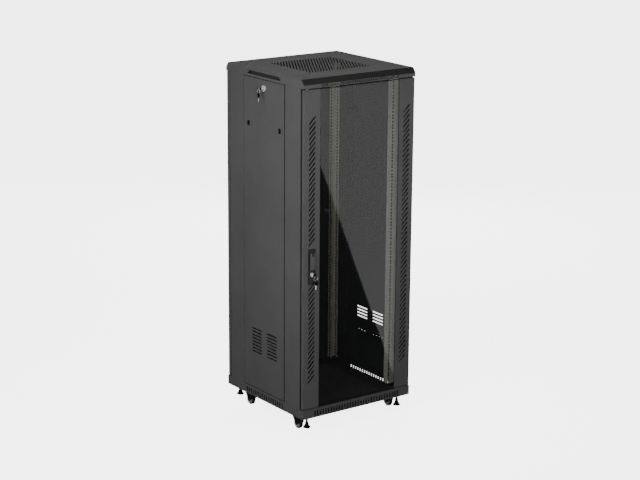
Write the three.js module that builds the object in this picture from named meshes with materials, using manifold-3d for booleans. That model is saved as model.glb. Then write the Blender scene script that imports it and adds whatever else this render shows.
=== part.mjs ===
// Free-standing 19-inch network rack cabinet, 32 units high, 600 mm wide and 600 mm deep.
// Millimetres, +X to the cabinet's right, -Y to its front, +Z up.
// The origin is the point of the floor under the middle of the cabinet.

import * as THREE from "three";
import { mergeVertices } from "three/addons/utils/BufferGeometryUtils.js";
import Module from "manifold-3d";

const wasm = await Module();
wasm.setup();

// ---------------------------------------------------------------- driving dimensions

const WIDTH = 600;
const DEPTH = 600;
const CASTER_HEIGHT = 75; // floor to the underside of the base frame
const BASE_HEIGHT = 43;
const BODY_HEIGHT = 1515; // underside of the base frame to the top
const TOP_FRAME_HEIGHT = 39;
const FRAME_SHEET = 2;
const PANEL_SHEET = 1.5;
const GAP = 0.3; // between pieces that touch

const RACK_UNIT = 44.45;
const UNITS = 32;
const RAIL_HOLE_SPACING = 465.1; // across the cabinet, centre to centre
const RAIL_OPENING = 450;
const RAIL_FACE_Y = 232; // distance of each rail's mounting face from the middle

const DOOR_BOTTOM = 46;
const DOOR_TOP = 1471;
const REAR_DOOR_TOP = 1474;
const FRONT_DOOR_DEPTH = 15;
const REAR_DOOR_DEPTH = 21;
const DOOR_FACE_Y = 298;
const DOOR_HALF_WIDTH = 297;
const STILE_INNER_X = 213; // edge of the visible glass
const HANDLE_X = -255.5;

const HALF_WIDTH = WIDTH / 2;
const HALF_DEPTH = DEPTH / 2;
const TOP_FRAME_Z = BODY_HEIGHT - TOP_FRAME_HEIGHT;
const POST_FRONT_Y = 276;
const POST_REAR_Y = 270;
const PANEL_OPENING_Y = 160;
const CASTER_X = 254;
const CASTER_Y = 190;
const FOOT_Y = 267;

// ---------------------------------------------------------------- geometry helpers

const AXES = {
  x: new THREE.Matrix4().makeBasis(
    new THREE.Vector3(0, 1, 0), new THREE.Vector3(0, 0, 1), new THREE.Vector3(1, 0, 0)),
  y: new THREE.Matrix4().makeBasis(
    new THREE.Vector3(1, 0, 0), new THREE.Vector3(0, 0, 1), new THREE.Vector3(0, -1, 0)),
  z: new THREE.Matrix4(),
};

function box(x0, x1, y0, y1, z0, z1) {
  const geometry = new THREE.BoxGeometry(x1 - x0, y1 - y0, z1 - z0);
  return geometry.translate((x0 + x1) / 2, (y0 + y1) / 2, (z0 + z1) / 2);
}

// A flat outline pushed along an axis. The outline's two coordinates are the other two
// axes in X, Y, Z order; low and high are the ends along the axis.
function prism(axis, outline, low, high) {
  const shape = new THREE.Shape(outline.map(([u, v]) => new THREE.Vector2(u, v)));
  const geometry = new THREE.ExtrudeGeometry(shape, {
    depth: high - low,
    bevelEnabled: false,
    curveSegments: 6,
  });
  const start = axis === "y" ? -high : low;
  return geometry.translate(0, 0, start).applyMatrix4(AXES[axis]);
}

// A round bar along an axis through the point (u, v) of the other two axes.
function bar(axis, radius, u, v, low, high, segments = 16, endRadius = radius) {
  const geometry = new THREE.CylinderGeometry(endRadius, radius, high - low, segments);
  geometry.rotateX(Math.PI / 2).translate(0, 0, (low + high) / 2);
  if (axis === "x") {
    geometry.rotateY(Math.PI / 2).translate(0, u, v);
  } else if (axis === "y") {
    geometry.rotateX(-Math.PI / 2).translate(u, 0, v);
  } else {
    geometry.translate(u, v, 0);
  }
  return geometry;
}

// The outline of a sheet of one thickness folded along a path, thickened to the path's left.
function folded(path, thickness) {
  const points = path.map(([u, v]) => new THREE.Vector2(u, v));
  const normals = points.slice(1).map((point, i) => {
    const along = point.clone().sub(points[i]).normalize();
    return new THREE.Vector2(-along.y, along.x);
  });
  const inner = points.map((point, i) => {
    const before = normals[Math.max(i - 1, 0)];
    const after = normals[Math.min(i, normals.length - 1)];
    const mitre = before.clone().add(after).divideScalar(1 + before.dot(after));
    return point.clone().addScaledVector(mitre, thickness);
  });
  return [...points, ...inner.reverse()].map((point) => [point.x, point.y]);
}

function rectangle(u0, u1, v0, v1) {
  return [[u0, v0], [u1, v0], [u1, v1], [u0, v1]];
}

function rounded(u, v, width, height, radius, steps = 3) {
  const outline = [];
  const corners = [[1, 1, 0], [-1, 1, 1], [-1, -1, 2], [1, -1, 3]];
  for (const [su, sv, quarter] of corners) {
    const cu = u + su * (width / 2 - radius);
    const cv = v + sv * (height / 2 - radius);
    for (let i = 0; i <= steps; i += 1) {
      const angle = ((quarter + i / steps) * Math.PI) / 2;
      outline.push([cu + radius * Math.cos(angle), cv + radius * Math.sin(angle)]);
    }
  }
  return outline;
}

// Turns a rectangle about its own centre.
function slanted(u, v, length, width, angle) {
  const c = Math.cos(angle);
  const s = Math.sin(angle);
  const corners = rectangle(-length / 2, length / 2, -width / 2, width / 2);
  return corners.map(([a, b]) => [u + a * c - b * s, v + a * s + b * c]);
}

function solid(geometry) {
  const bare = geometry.clone();
  bare.deleteAttribute("normal");
  bare.deleteAttribute("uv");
  const merged = mergeVertices(bare, 1e-4);
  return new wasm.Manifold(new wasm.Mesh({
    numProp: 3,
    vertProperties: new Float32Array(merged.attributes.position.array),
    triVerts: new Uint32Array(merged.index.array),
  }));
}

function surface(manifold) {
  const mesh = manifold.getMesh();
  const geometry = new THREE.BufferGeometry();
  geometry.setAttribute("position", new THREE.BufferAttribute(mesh.vertProperties, 3));
  geometry.setIndex(new THREE.BufferAttribute(mesh.triVerts, 1));
  geometry.computeVertexNormals();
  return geometry;
}

const total = (geometries) => geometries.map(solid).reduce((sum, next) => sum.add(next));
const join = (...geometries) => surface(total(geometries));
const cut = (base, tools) => surface(solid(base).subtract(total(tools)));

// Evenly spaced places centred on a middle.
function row(count, pitch, middle = 0) {
  return Array.from({ length: count }, (_, i) => middle + (i - (count - 1) / 2) * pitch);
}

const flipX = (geometry) => surface(solid(geometry).mirror([1, 0, 0]));
const flipY = (geometry) => surface(solid(geometry).mirror([0, 1, 0]));

// ---------------------------------------------------------------- materials and assembly

function material(color, roughness, metalness) {
  return () => new THREE.MeshStandardMaterial({ color, roughness, metalness });
}

const paint = material(0x4a4a4a, 0.6, 0.1);
const darkPaint = material(0x1c1c1c, 0.45, 0.1);
const zinc = material(0x85867a, 0.45, 0.7);
const chrome = material(0xd0d0d0, 0.15, 1.0);
const blackPlastic = material(0x151515, 0.5, 0);
const rubber = material(0x101010, 0.8, 0);
const steel = material(0x6e6e6e, 0.4, 0.8);

function glassMaterial() {
  return new THREE.MeshStandardMaterial({
    color: 0x20262a, roughness: 0.05, metalness: 0, transparent: true, opacity: 0.35,
  });
}

const rack = new THREE.Group();
const cabinet = new THREE.Group(); // z = 0 is the underside of the base frame
cabinet.position.z = CASTER_HEIGHT;
rack.add(cabinet);

function add(name, geometry, finish, parent = cabinet) {
  const mesh = new THREE.Mesh(geometry, finish());
  mesh.name = name;
  parent.add(mesh);
}

const SIDES = [["left", -1], ["right", 1]];
const ENDS = [["front", -1], ["rear", 1]];

// ---------------------------------------------------------------- base frame

const BOTTOM_FLANGE = 62; // carries the levelling feet
const SIDE_BOTTOM_FLANGE = 92; // carries the casters
const TOP_FLANGE = 38;
const BASE_SLOT = { width: 8, low: 7, high: 31 };
const PIN_X = 289;
const PIN_Y = 290;
const PIN_RADIUS = 4;
const FOOT_STEM_RADIUS = 5;
const NUT_TOP = 11;

const pinHole = (x, y, z) => bar("z", PIN_RADIUS + 0.4, x, y, z - 5, z + 5, 12);

function endBeam(pinX, pinY) {
  const y = -HALF_DEPTH;
  const section = folded([
    [y + TOP_FLANGE, BASE_HEIGHT], [y, BASE_HEIGHT], [y, 0], [y + BOTTOM_FLANGE, 0],
  ], FRAME_SHEET);
  const beam = join(
    prism("x", section, -HALF_WIDTH, HALF_WIDTH),
    ...SIDES.map(([, side]) => bar("z", 9, side * CASTER_X, -FOOT_Y, 1, NUT_TOP, 6)),
  );
  const slots = row(32, 15).map((x) => box(
    x - BASE_SLOT.width / 2, x + BASE_SLOT.width / 2, y - 1, y + FRAME_SHEET + 1,
    BASE_SLOT.low, BASE_SLOT.high));
  const stems = SIDES.map(([, side]) =>
    bar("z", FOOT_STEM_RADIUS + 0.4, side * CASTER_X, -FOOT_Y, -5, NUT_TOP + 5, 16));
  return cut(beam, [...slots, ...stems, pinHole(pinX, pinY, BASE_HEIGHT)]);
}

function sideBeam() {
  const x = -HALF_WIDTH;
  const flangeEnd = HALF_DEPTH - BOTTOM_FLANGE - GAP;
  const topEnd = HALF_DEPTH - TOP_FLANGE - GAP;
  const skirtEnd = HALF_DEPTH - FRAME_SHEET - GAP;
  const under = FRAME_SHEET + GAP;
  const beam = join(
    box(x, x + SIDE_BOTTOM_FLANGE, -flangeEnd, flangeEnd, 0, FRAME_SHEET),
    box(x, x + FRAME_SHEET, -flangeEnd, flangeEnd, 0, BASE_HEIGHT),
    box(x, x + FRAME_SHEET, -topEnd, topEnd, under, BASE_HEIGHT),
    box(x, x + TOP_FLANGE, -topEnd, topEnd, BASE_HEIGHT - FRAME_SHEET, BASE_HEIGHT),
    box(x, x + FRAME_SHEET, -skirtEnd, skirtEnd, under, BASE_HEIGHT - under),
  );
  const slots = row(17, 17.6).map((y) => box(
    x - 1, x + FRAME_SHEET + 1, y - BASE_SLOT.width / 2, y + BASE_SLOT.width / 2,
    BASE_SLOT.low, BASE_SLOT.high));
  return cut(beam, slots);
}

add("base_beam_front", endBeam(PIN_X, -PIN_Y), paint);
add("base_beam_rear", flipY(endBeam(-PIN_X, -PIN_Y)), paint);
add("base_beam_left", sideBeam(), paint);
add("base_beam_right", flipX(sideBeam()), paint);

const FLOOR = { x: 228, y: 256, z: FRAME_SHEET + GAP };
const CABLE_ENTRY = { x: 75, y0: 130, y1: 220, lap: 15 };
const floorSheet = cut(
  box(-FLOOR.x, FLOOR.x, -FLOOR.y, FLOOR.y, FLOOR.z, FLOOR.z + PANEL_SHEET),
  [box(-CABLE_ENTRY.x, CABLE_ENTRY.x, CABLE_ENTRY.y0, CABLE_ENTRY.y1, 0, 10)]);
add("floor_panel", floorSheet, paint);
const coverZ = FLOOR.z + PANEL_SHEET + GAP;
add("cable_entry_cover", box(
  -CABLE_ENTRY.x - CABLE_ENTRY.lap, CABLE_ENTRY.x + CABLE_ENTRY.lap,
  CABLE_ENTRY.y0 - CABLE_ENTRY.lap, CABLE_ENTRY.y1 + CABLE_ENTRY.lap,
  coverZ, coverZ + PANEL_SHEET), paint);

// ---------------------------------------------------------------- posts

const POST_WALL = 24; // inward width of the wall behind each door
const POST_RETURN_Y = 240;

function post(outerY) {
  const x = -HALF_WIDTH;
  const section = folded([
    [x + 22, -PANEL_OPENING_Y], [x, -PANEL_OPENING_Y], [x, -outerY],
    [x + POST_WALL, -outerY], [x + POST_WALL, -POST_RETURN_Y],
  ], FRAME_SHEET);
  return prism("z", section, BASE_HEIGHT + GAP, TOP_FRAME_Z - GAP);
}

add("post_front_left", post(POST_FRONT_Y), paint);
add("post_front_right", flipX(post(POST_FRONT_Y)), paint);
add("post_rear_left", flipY(post(POST_REAR_Y)), paint);
add("post_rear_right", flipY(flipX(post(POST_REAR_Y))), paint);

// ---------------------------------------------------------------- top frame

const BEVEL = { y: 17, z: 21 };
const BEVEL_FOOT_Z = BODY_HEIGHT - BEVEL.z;
const BEVEL_TOP_Y = HALF_DEPTH - BEVEL.y;
const HEADER_FLANGE = 25;
const TOP_SIDE_FLANGE = 12;
const TRIM_SHEET = 1.6;
const TOP_FIELD = { x: 165, y: 155, pitch: 15.1, width: 5.5, lean: 0.63 };
const SCOOP = { low: 1487, high: 1502, halfBottom: 127, halfTop: 113, depth: 8 };

// Diagonal vent slots of one pitch, each clipped to the square field.
function topSlots() {
  const { x: fieldX, y: fieldY, pitch, width, lean } = TOP_FIELD;
  const reach = fieldX + lean * fieldY;
  const count = Math.floor((2 * reach) / pitch);
  const half = (width / 2) * Math.hypot(1, lean);
  const slots = row(count, pitch).map((x) => prism("z", [
    [x - half - lean * fieldY, -fieldY], [x + half - lean * fieldY, -fieldY],
    [x + half + lean * fieldY, fieldY], [x - half + lean * fieldY, fieldY],
  ], BODY_HEIGHT - 10, BODY_HEIGHT + 10));
  const field = box(-fieldX, fieldX, -fieldY, fieldY, BODY_HEIGHT - 5, BODY_HEIGHT + 5);
  return surface(total(slots).intersect(solid(field)));
}

// A point of the front bevel: a share of the way up it, and set inward from its face.
function bevelPoint(share, inward) {
  const length = Math.hypot(BEVEL.y, BEVEL.z);
  return [-HALF_DEPTH + share * BEVEL.y + (inward * BEVEL.z) / length,
    BEVEL_FOOT_Z + share * BEVEL.z - (inward * BEVEL.y) / length];
}

// The same line met at a given depth or at a given height.
function bevelAtY(y, inward) {
  const [startY, startZ] = bevelPoint(0, inward);
  return [y, startZ + ((y - startY) * BEVEL.z) / BEVEL.y];
}

function bevelAtZ(z, inward) {
  const [startY, startZ] = bevelPoint(0, inward);
  return [startY + ((z - startZ) * BEVEL.y) / BEVEL.z, z];
}

const HEADER_SET = TRIM_SHEET + GAP; // the header's bevel lies behind the trim
const WALL_SET = HEADER_SET + FRAME_SHEET + GAP; // and the side walls behind the header

function topCover() {
  const frontEdge = -HALF_DEPTH + FRAME_SHEET + GAP;
  const wallOutline = [
    [frontEdge, TOP_FRAME_Z], bevelAtY(frontEdge, WALL_SET), bevelAtZ(BODY_HEIGHT, WALL_SET),
    [BEVEL_TOP_Y, BODY_HEIGHT], [HALF_DEPTH, BEVEL_FOOT_Z], [HALF_DEPTH, TOP_FRAME_Z],
  ];
  const shell = folded([
    [HALF_DEPTH - HEADER_FLANGE, TOP_FRAME_Z], [HALF_DEPTH, TOP_FRAME_Z],
    [HALF_DEPTH, BEVEL_FOOT_Z], [BEVEL_TOP_Y, BODY_HEIGHT], [-BEVEL_TOP_Y + 1.5, BODY_HEIGHT],
  ], FRAME_SHEET);
  const pieces = [prism("x", shell, -HALF_WIDTH, HALF_WIDTH)];
  const tools = [topSlots(), pinHole(-PIN_X, PIN_Y, TOP_FRAME_Z)];
  for (const [, side] of SIDES) {
    const between = (a, b) => [side * a, side * b].sort((m, n) => m - n);
    pieces.push(prism("x", wallOutline, ...between(HALF_WIDTH - FRAME_SHEET, HALF_WIDTH)));
    pieces.push(box(...between(HALF_WIDTH - TOP_SIDE_FLANGE, HALF_WIDTH),
      -HALF_DEPTH + HEADER_FLANGE + GAP, HALF_DEPTH - 1, TOP_FRAME_Z, TOP_FRAME_Z + FRAME_SHEET));
    pieces.push(box(...between(HALF_WIDTH - SCOOP.depth - FRAME_SHEET, HALF_WIDTH - 1),
      -SCOOP.halfBottom - 4, SCOOP.halfBottom + 4, SCOOP.low - 4, SCOOP.high + 4));
    tools.push(prism("x", [
      [-SCOOP.halfBottom, SCOOP.low], [SCOOP.halfBottom, SCOOP.low],
      [SCOOP.halfTop, SCOOP.high], [-SCOOP.halfTop, SCOOP.high],
    ], ...between(HALF_WIDTH - SCOOP.depth, HALF_WIDTH + 1)));
  }
  return cut(join(...pieces), tools);
}

function frontHeader() {
  const foot = bevelPoint(0, HEADER_SET);
  const head = bevelPoint(0.94, HEADER_SET);
  const section = folded([
    [head[0] + 20, head[1]], head, foot, [-HALF_DEPTH, foot[1] - 1],
    [-HALF_DEPTH, TOP_FRAME_Z], [-HALF_DEPTH + HEADER_FLANGE, TOP_FRAME_Z],
  ], FRAME_SHEET);
  const slots = row(34, 12.3).map((x) => box(
    x - 3.1, x + 3.1, -HALF_DEPTH - 1, -HALF_DEPTH + FRAME_SHEET + 1,
    TOP_FRAME_Z + 3.5, BEVEL_FOOT_Z - 3.5));
  const inside = -HALF_DEPTH + FRAME_SHEET;
  const ends = SIDES.map(([, side]) => prism("x", [
    [inside, TOP_FRAME_Z - 5], bevelAtY(inside, HEADER_SET + FRAME_SHEET),
    bevelPoint(1.3, HEADER_SET + FRAME_SHEET), [inside + 60, BODY_HEIGHT],
    [inside + 60, TOP_FRAME_Z - 5],
  ], ...[side * (HALF_WIDTH - FRAME_SHEET - GAP), side * (HALF_WIDTH + 1)].sort((a, b) => a - b)));
  const header = prism("x", section, -HALF_WIDTH, HALF_WIDTH);
  return cut(header, [...slots, ...ends, pinHole(PIN_X, -PIN_Y, TOP_FRAME_Z)]);
}

add("top_cover", topCover(), paint);
add("front_header", frontHeader(), paint);
add("header_trim", prism("x", [
  bevelPoint(0, 0), bevelPoint(1, 0), bevelPoint(1, TRIM_SHEET), bevelPoint(0, TRIM_SHEET),
], -HALF_WIDTH, HALF_WIDTH), darkPaint);

// ---------------------------------------------------------------- 19-inch rails and depth bars

const RAIL_BOTTOM = 46;
const RAIL_MARGIN = 1.3; // below the first unit
const RAIL_OUTER_X = 262;
const RAIL_FLANGE = 28;
const SQUARE_HOLE = 9.5;
const UNIT_HOLES = [6.35, 22.225, 38.1]; // hole centres up from the bottom of a unit

function rail() {
  const y = -RAIL_FACE_Y;
  const section = folded([
    [-RAIL_OPENING / 2, y + RAIL_FLANGE], [-RAIL_OPENING / 2, y],
    [-RAIL_OUTER_X, y], [-RAIL_OUTER_X, y + RAIL_FLANGE],
  ].reverse(), FRAME_SHEET);
  const length = UNITS * RACK_UNIT + 2 * RAIL_MARGIN;
  const x = -RAIL_HOLE_SPACING / 2;
  const holes = [];
  for (let unit = 0; unit < UNITS; unit += 1) {
    for (const hole of UNIT_HOLES) {
      const z = RAIL_BOTTOM + RAIL_MARGIN + unit * RACK_UNIT + hole;
      holes.push(box(x - SQUARE_HOLE / 2, x + SQUARE_HOLE / 2, y - 1, y + FRAME_SHEET + 1,
        z - SQUARE_HOLE / 2, z + SQUARE_HOLE / 2));
    }
  }
  return cut(prism("z", section, RAIL_BOTTOM, RAIL_BOTTOM + length), holes);
}

add("rail_front_left", rail(), zinc);
add("rail_front_right", flipX(rail()), zinc);
add("rail_rear_left", flipY(rail()), zinc);
add("rail_rear_right", flipY(flipX(rail())), zinc);

const BAR = { x: RAIL_OUTER_X + GAP, height: 60, front: 268, rear: 262 };

function depthBar(z, count, pitch) {
  const outer = HALF_WIDTH - POST_WALL - GAP;
  const section = folded([
    [-outer, z + BAR.height], [-BAR.x, z + BAR.height], [-BAR.x, z], [-outer, z],
  ].reverse(), FRAME_SHEET);
  const holes = row(count, pitch, -20).map((y) => box(
    -outer - 1, -BAR.x + 1, y - 4, y + 4, z + 5, z + 13));
  return cut(prism("y", section, -BAR.front, BAR.rear), holes);
}

for (const [level, z, count, pitch] of [
  ["lower", 223, 14, RACK_UNIT / 2], ["upper", 1400, 7, RACK_UNIT],
]) {
  add(`depth_bar_left_${level}`, depthBar(z, count, pitch), paint);
  add(`depth_bar_right_${level}`, flipX(depthBar(z, count, pitch)), paint);
}

// ---------------------------------------------------------------- front door

const DOOR_LIP = 14;
const VENT = { pitch: RACK_UNIT / 2, count: 53, top: 1338, length: 47, width: 7.8 };
const HANDLE_FREE = { first: 25, last: 32 }; // slots left out on the handle's stile
const SPINDLE_Z = 754;
const LOCK_Z = 661;
const GLASS = { thickness: 5, halfWidth: 228 };

function stile(omitted, extraHoles, side = -1) {
  const rear = -DOOR_FACE_Y + FRONT_DOOR_DEPTH;
  const path = folded([
    [-DOOR_HALF_WIDTH + DOOR_LIP, rear], [-DOOR_HALF_WIDTH, rear],
    [-DOOR_HALF_WIDTH, -DOOR_FACE_Y], [-STILE_INNER_X, -DOOR_FACE_Y],
  ], PANEL_SHEET);
  const section = path.map(([x, y]) => [-side * x, y]);
  const slots = [];
  for (let i = 0; i < VENT.count; i += 1) {
    if (!omitted(i)) {
      slots.push(prism("y", slanted(-side * HANDLE_X, VENT.top - i * VENT.pitch, VENT.length,
        VENT.width, Math.PI / 4), -DOOR_FACE_Y - 1, -DOOR_FACE_Y + PANEL_SHEET + 1));
    }
  }
  return cut(prism("z", section, DOOR_BOTTOM, DOOR_TOP), [...slots, ...extraHoles]);
}

// Blocks at the hinge side's top and bottom, each carrying a hinge pin that stands out of
// the door. The box given is the space inside the door's folded edge.
function hingePins(x, y, x0, x1, y0, y1, top = DOOR_TOP) {
  const reach = 11;
  return [[DOOR_BOTTOM, DOOR_BOTTOM + 20, -reach, 0], [top - 20, top, 0, reach]]
    .flatMap(([low, high, below, above]) => [
      box(x0, x1, y0, y1, low, high),
      bar("z", PIN_RADIUS, x, y, low + below, high + above, 12),
    ]);
}

const lockHole = bar("y", 8.9, HANDLE_X, LOCK_Z, -DOOR_FACE_Y - 5, -DOOR_FACE_Y + 5);
const spindleHole = bar("y", 8.4, HANDLE_X, SPINDLE_Z, -DOOR_FACE_Y - 5, -DOOR_FACE_Y + 5);
const nearHandle = (i) => i >= HANDLE_FREE.first && i <= HANDLE_FREE.last;
add("door_stile_left", stile(nearHandle, [lockHole, spindleHole]), paint);
const doorRear = -DOOR_FACE_Y + FRONT_DOOR_DEPTH;
// Its slots lean the same way as the left stile's, so only the folded sheet is mirrored.
add("door_stile_right", join(
  stile(() => false, [], 1),
  ...hingePins(PIN_X, -PIN_Y, PIN_X - 6, DOOR_HALF_WIDTH - 0.5, -DOOR_FACE_Y + 0.5, doorRear - 0.5),
), paint);
const glassY = -DOOR_FACE_Y + PANEL_SHEET + GAP;
add("door_glass", box(-GLASS.halfWidth, GLASS.halfWidth, glassY, glassY + GLASS.thickness,
  DOOR_BOTTOM, DOOR_TOP), glassMaterial);

// ---------------------------------------------------------------- keys and locks

const KEY = { width: 22, length: 24, thickness: 2, bladeWidth: 6.4, blade: 19, hole: 2.8 };
const KEY_HOLE_OUT = 7; // from the middle of the head
const RING = { radius: 9.5, wire: 0.8 };
const LOCK = { barrel: 8.4, slotWidth: 2.3, slotHeight: 7.2 };
const SIDE_LOCK_Z = 1436.6;
const SIDE_KEY_OUT = 26; // middle of the head from the panel
const FRONT_KEY_OUT = 26;

// Head in the middle of the local axes, blade along +Y, thin in X.
function keyBlank() {
  const outline = rounded(0, 0, KEY.length, KEY.width, 9, 3);
  const t = KEY.thickness / 2;
  const blade = box(-0.8, 0.8, KEY.length / 2 - 1, KEY.length / 2 + KEY.blade,
    -KEY.bladeWidth / 2, KEY.bladeWidth / 2);
  return cut(join(prism("x", outline, -t, t), blade),
    [bar("x", KEY.hole, -KEY_HOLE_OUT, 0, -5, 5, 12)]);
}

// Hanging by its hole, blade down, twisted about the vertical. The top of the hole rests on
// a wire whose middle is at the place given.
function hangingKey(x, y, wireZ, twist) {
  const play = KEY.hole - RING.wire - 0.9;
  return keyBlank().rotateX(-Math.PI / 2).rotateZ(twist)
    .translate(x, y, wireZ - play - KEY_HOLE_OUT);
}

function ring(normal) {
  const geometry = new THREE.TorusGeometry(RING.radius, RING.wire, 5, 16);
  if (normal === "y") {
    geometry.rotateX(Math.PI / 2);
  } else {
    geometry.rotateY(Math.PI / 2);
  }
  return geometry;
}

// Barrel along Y with its visible face at y = 0 and its body behind it (+Y).
function lockBody(faceRadius, faceDepth, length, cam) {
  const body = [bar("y", faceRadius, 0, 0, 0, faceDepth, 24), bar("y", LOCK.barrel, 0, 0,
    faceDepth - 0.5, length, 20)];
  if (cam) {
    body.push(cam);
  }
  return cut(join(...body), [box(-LOCK.slotWidth / 2, LOCK.slotWidth / 2, -1, 14,
    -LOCK.slotHeight / 2, LOCK.slotHeight / 2)]);
}

// ---------------------------------------------------------------- front door's handle and lock

const DISH = { width: 36, low: 617, high: 776, depth: 3.5, rim: 2.5 };
const LEVER = { width: 20, low: 682, notch: 745, back: 302.4, front: 311.4 };
const CAM = { tipX: 274.5, near: 272, far: 269, halfWidth: 5 };
const dishFace = -DOOR_FACE_Y - GAP;
const dishMiddle = (DISH.low + DISH.high) / 2;
const dishLength = DISH.high - DISH.low;

add("handle_dish", cut(
  prism("y", rounded(HANDLE_X, dishMiddle, DISH.width, dishLength, 4),
    dishFace - DISH.depth, dishFace),
  [
    prism("y", rounded(HANDLE_X, dishMiddle, DISH.width - 2 * DISH.rim,
      dishLength - 2 * DISH.rim, 2.5), dishFace - DISH.depth - 1, dishFace - 1.5),
    lockHole, spindleHole.clone().translate(0, -2, 0), lockHole.clone().translate(0, -2, 0),
  ]), paint);

const pivotY = -(LEVER.back + LEVER.front) / 2;
const leverRound = (LEVER.front - LEVER.back) / 2;

function lever() {
  const side = [[-LEVER.back, LEVER.low + 3], [-LEVER.back, SPINDLE_Z]];
  for (let i = 1; i <= 8; i += 1) {
    const angle = (i * Math.PI) / 8;
    side.push([pivotY + leverRound * Math.cos(angle), SPINDLE_Z + leverRound * Math.sin(angle)]);
  }
  side.push([-LEVER.front, LEVER.low + 8], [-LEVER.front + 3, LEVER.low], [-LEVER.back - 2, LEVER.low]);
  const half = LEVER.width / 2;
  const body = prism("x", side, HANDLE_X - half, HANDLE_X + half);
  const notch = box(HANDLE_X - 4.8, HANDLE_X + 4.8, -LEVER.front - 1, -LEVER.back + 1,
    LEVER.notch, SPINDLE_Z + 20);
  const pin = bar("x", 1.8, pivotY, SPINDLE_Z, HANDLE_X - 6, HANDLE_X + 6, 10);
  return surface(solid(body).subtract(solid(notch)).add(solid(pin)));
}

function spindle() {
  const head = box(HANDLE_X - 4.5, HANDLE_X + 4.5, -LEVER.front + 0.5, -LEVER.back + 2,
    SPINDLE_Z - 6, SPINDLE_Z + 6);
  const shaft = bar("y", 8, HANDLE_X, SPINDLE_Z, -LEVER.back + 0.4, -CAM.far, 18);
  const cam = box(-CAM.tipX, HANDLE_X, -CAM.near, -CAM.far,
    SPINDLE_Z - CAM.halfWidth, SPINDLE_Z + CAM.halfWidth);
  const pinWay = bar("x", 2.1, pivotY, SPINDLE_Z, HANDLE_X - 8, HANDLE_X + 8, 10);
  return cut(join(head, shaft, cam), [pinWay]);
}

add("handle_lever", lever(), paint);
add("handle_spindle", spindle(), steel);

const lockFaceY = dishFace - DISH.depth - 3.5;
add("front_lock", lockBody(10, 3, 20).translate(HANDLE_X, lockFaceY, LOCK_Z), chrome);
const frontKeyY = -DOOR_FACE_Y - FRONT_KEY_OUT;
const frontRingY = frontKeyY - KEY_HOLE_OUT;
const frontRingZ = LOCK_Z - (KEY.hole - 0.5) - RING.radius;
add("front_key", join(
  keyBlank().translate(HANDLE_X, frontKeyY, LOCK_Z),
  ring("y").translate(HANDLE_X, frontRingY, frontRingZ),
), steel);
add("front_spare_key",
  hangingKey(HANDLE_X, frontRingY, frontRingZ - RING.radius, 0.6), steel);

// ---------------------------------------------------------------- rear door

const REAR_LOCK_X = 258;
const REAR_LOCK_Z = 755;

function rearDoor() {
  const front = DOOR_FACE_Y - REAR_DOOR_DEPTH;
  const edge = DOOR_HALF_WIDTH;
  const section = folded([
    [edge - DOOR_LIP, front], [edge, front], [edge, DOOR_FACE_Y],
    [-edge, DOOR_FACE_Y], [-edge, front], [-edge + DOOR_LIP, front],
  ], PANEL_SHEET);
  const pan = join(
    prism("z", section, DOOR_BOTTOM, REAR_DOOR_TOP),
    box(-edge, edge, front, DOOR_FACE_Y, DOOR_BOTTOM, DOOR_BOTTOM + PANEL_SHEET),
    box(-edge, edge, front, DOOR_FACE_Y, REAR_DOOR_TOP - PANEL_SHEET, REAR_DOOR_TOP),
    ...hingePins(-PIN_X, PIN_Y, -edge + 0.5, -PIN_X + 6, front + 0.5, DOOR_FACE_Y - 0.5,
      REAR_DOOR_TOP),
  );
  const keyway = bar("y", 8.9, REAR_LOCK_X, REAR_LOCK_Z, DOOR_FACE_Y - 5, DOOR_FACE_Y + 5);
  return cut(pan, [keyway]);
}

add("rear_door", rearDoor(), paint);
const rearFaceY = DOOR_FACE_Y + GAP + 3;
const rearCamLength = HALF_WIDTH - POST_WALL - 1.5 - REAR_LOCK_X;
const rearLock = lockBody(11, 3, 38, box(-rearCamLength, 2, 33, 36, -5, 5));
add("rear_lock", rearLock.rotateZ(Math.PI).translate(REAR_LOCK_X, rearFaceY, REAR_LOCK_Z), chrome);
add("rear_key", keyBlank().rotateZ(Math.PI)
  .translate(REAR_LOCK_X, DOOR_FACE_Y + FRONT_KEY_OUT, REAR_LOCK_Z), steel);

// ---------------------------------------------------------------- side panels

const PANEL = { front: -154, rear: 158.5, low: 46, high: 1473.5, lip: 14 };
const PANEL_VENTS = { inner: 21, outer: 98, low: 218.5, pitch: 15.4, rows: 8, height: 6.5 };
const LATCH_Z = 1267;
const LATCHES = [["front", -118.5, -142.5, -1], ["rear", 121.5, 92.5, 1]];
const LATCH_OPENING = { width: 20, height: 22 };
const LATCH_TRAVEL = 8;
const BOLT = { height: 10, near: 297, far: 291 };
const SIDE_LOCK_CAM = 38;

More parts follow.
